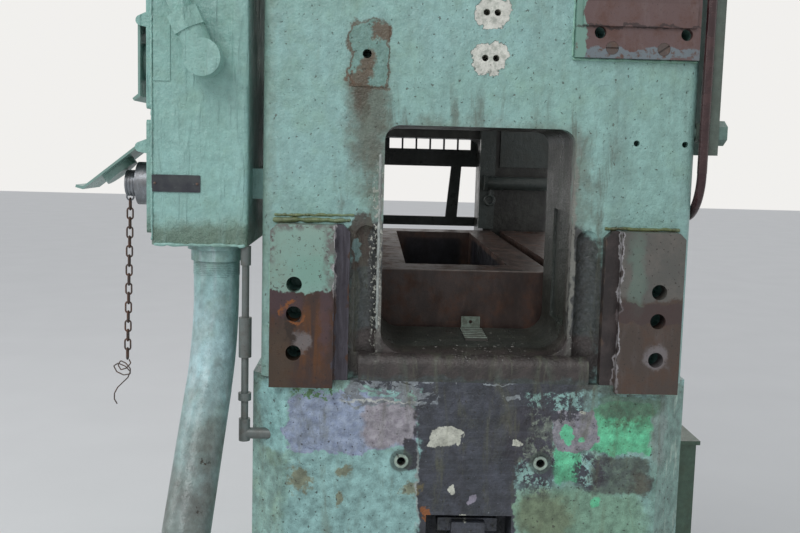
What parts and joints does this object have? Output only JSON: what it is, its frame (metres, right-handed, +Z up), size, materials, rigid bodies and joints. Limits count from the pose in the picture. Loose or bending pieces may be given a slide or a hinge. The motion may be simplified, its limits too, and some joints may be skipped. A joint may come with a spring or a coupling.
{
  "type": "mechanical stamping press",
  "caption": "Tie-rod straight-side mechanical stamping press with crank-driven slide, bolster, strip windows, feed pads and junction box.",
  "frame": {"origin": "centre of the four foot bolt holes, on the floor", "axes": "+Z up through the bolster's working face, +X towards the strip's feed end, -Y towards the operator"},
  "size_m": [1.675, 1.0815, 2.534],
  "materials": {
    "bed": "aged gloss paint, oily",
    "upright_paint": "aged gloss paint, oily",
    "crown_paint": "aged gloss paint",
    "steel_dark": "oiled dark steel",
    "steel_bright": "ground steel",
    "bolster_steel": "oily brown steel",
    "pad_steel": "rusted bare steel, part painted",
    "box_paint": "aged gloss paint, lumpy",
    "label_black": "worn dark plate",
    "black_plastic": "moulded",
    "chain_steel": "rusted wire",
    "hose_rubber": "glossy dark maroon",
    "line_grey": "dull grey",
    "bronze": "oiled bronze",
    "cast_machined": "machined casting",
    "slide_paint": "aged gloss paint",
    "wheel_iron": "turned casting",
    "motor_paint": "gloss paint",
    "belt_rubber": "matt black",
    "tank_paint": "dark green paint"
  },
  "bodies": {
    "frame": {"bed": "bed", "right_upright": "upright_paint", "left_upright": "upright_paint", "crown": "crown_paint", "tie_rods": "steel_dark", "tie_rod_nuts": "steel_dark", "bolster": "bolster_steel", "bolster_bolts": "steel_dark", "gib_front_right": "cast_machined", "gib_rear_right": "cast_machined", "gib_front_left": "cast_machined", "gib_rear_left": "cast_machined", "gib_bolts": "steel_dark", "feed_pad_front": "pad_steel", "feed_pad_rear": "pad_steel", "upper_plate": "pad_steel", "upper_plate_screws": "steel_dark", "sill_tab": "box_paint", "junction_box": "box_paint", "box_brackets": "box_paint", "label_plate": "label_black", "conduit_locknut": "box_paint", "conduit": "box_paint", "elbow_fitting": "box_paint", "small_conduit": "box_paint", "receptacle_plate_upper": "box_paint", "receptacle_plate_lower": "box_paint", "receptacle_upper": "black_plastic", "receptacle_lower": "steel_bright", "receptacle_cap": "black_plastic", "rear_bar": "upright_paint", "rear_bar_bolt": "upright_paint", "hose": "hose_rubber", "air_line": "line_grey", "main_bearings": "bronze", "motor": "motor_paint", "motor_bracket": "motor_paint", "drive_belts": "belt_rubber", "belt_guard": "crown_paint", "crown_cover_front": "crown_paint", "crown_cover_rear": "crown_paint", "cover_bolts": "steel_dark", "lube_tank": "tank_paint", "exit_guard": "tank_paint"},
    "crank": {"crankshaft": "steel_bright", "clutch_housing": "wheel_iron"},
    "rod_r": {"rod_right": "cast_machined", "rod_cap_right": "cast_machined", "rod_bolts_right": "steel_dark", "wrist_pin_right": "steel_bright"},
    "rod_l": {"rod_left": "cast_machined", "rod_cap_left": "cast_machined", "rod_bolts_left": "steel_dark", "wrist_pin_left": "steel_bright"},
    "slide": {"slide": "slide_paint"},
    "flywheel": {"flywheel": "wheel_iron"},
    "sheave": {"motor_sheave": "wheel_iron"},
    "lid_up": {"lid_upper": "box_paint"},
    "lid_low": {"lid_lower": "box_paint"},
    "chain": {"cap_chain": "chain_steel"}
  },
  "joints": [
    {"name": "crank_turn", "type": "hinge", "parent": "frame", "child": "crank", "pos_m": [0, 0, 2.01], "axis": [1, 0, 0], "continuous": true},
    {"name": "rod_right_turn", "type": "hinge", "parent": "crank", "child": "rod_r", "pos_m": [0.2, 0, 1.985], "axis": [1, 0, 0], "continuous": true},
    {"name": "rod_left_turn", "type": "hinge", "parent": "crank", "child": "rod_l", "pos_m": [-0.2, 0, 1.985], "axis": [1, 0, 0], "continuous": true},
    {"name": "slide_stroke", "type": "slide", "parent": "frame", "child": "slide", "axis": [0, 0, 1], "range_m": [0, 0.05]},
    {"name": "flywheel_spin", "type": "hinge", "parent": "frame", "child": "flywheel", "pos_m": [-0.76, 0, 2.01], "axis": [1, 0, 0], "continuous": true},
    {"name": "motor_turn", "type": "hinge", "parent": "frame", "child": "sheave", "pos_m": [-0.76, 0.38, 2.408], "axis": [1, 0, 0], "continuous": true},
    {"name": "lid_upper_swing", "type": "hinge", "parent": "frame", "child": "lid_up", "pos_m": [0.56, -0.437, 1.235], "axis": [-1, 0, 0], "range_deg": [0, 110], "stiffness_Nm_per_rad": 0.05, "springref_deg": -28.65},
    {"name": "lid_lower_swing", "type": "hinge", "parent": "frame", "child": "lid_low", "pos_m": [0.56, -0.4386, 1.075], "axis": [-1, 0, 0], "range_deg": [0, 55], "stiffness_Nm_per_rad": 0.05, "springref_deg": -57.3},
    {"name": "chain_swing", "type": "hinge", "parent": "frame", "child": "chain", "pos_m": [0.56, -0.463, 1.0045], "axis": [1, 0, 0], "range_deg": [-24, 12]}
  ],
  "couplings": [
    {"joint": "rod_right_turn", "follows": "crank_turn", "ratio": -1},
    {"joint": "rod_left_turn", "follows": "crank_turn", "ratio": -1},
    {"joint": "motor_turn", "follows": "flywheel_spin", "ratio": 5.375}
  ]
}
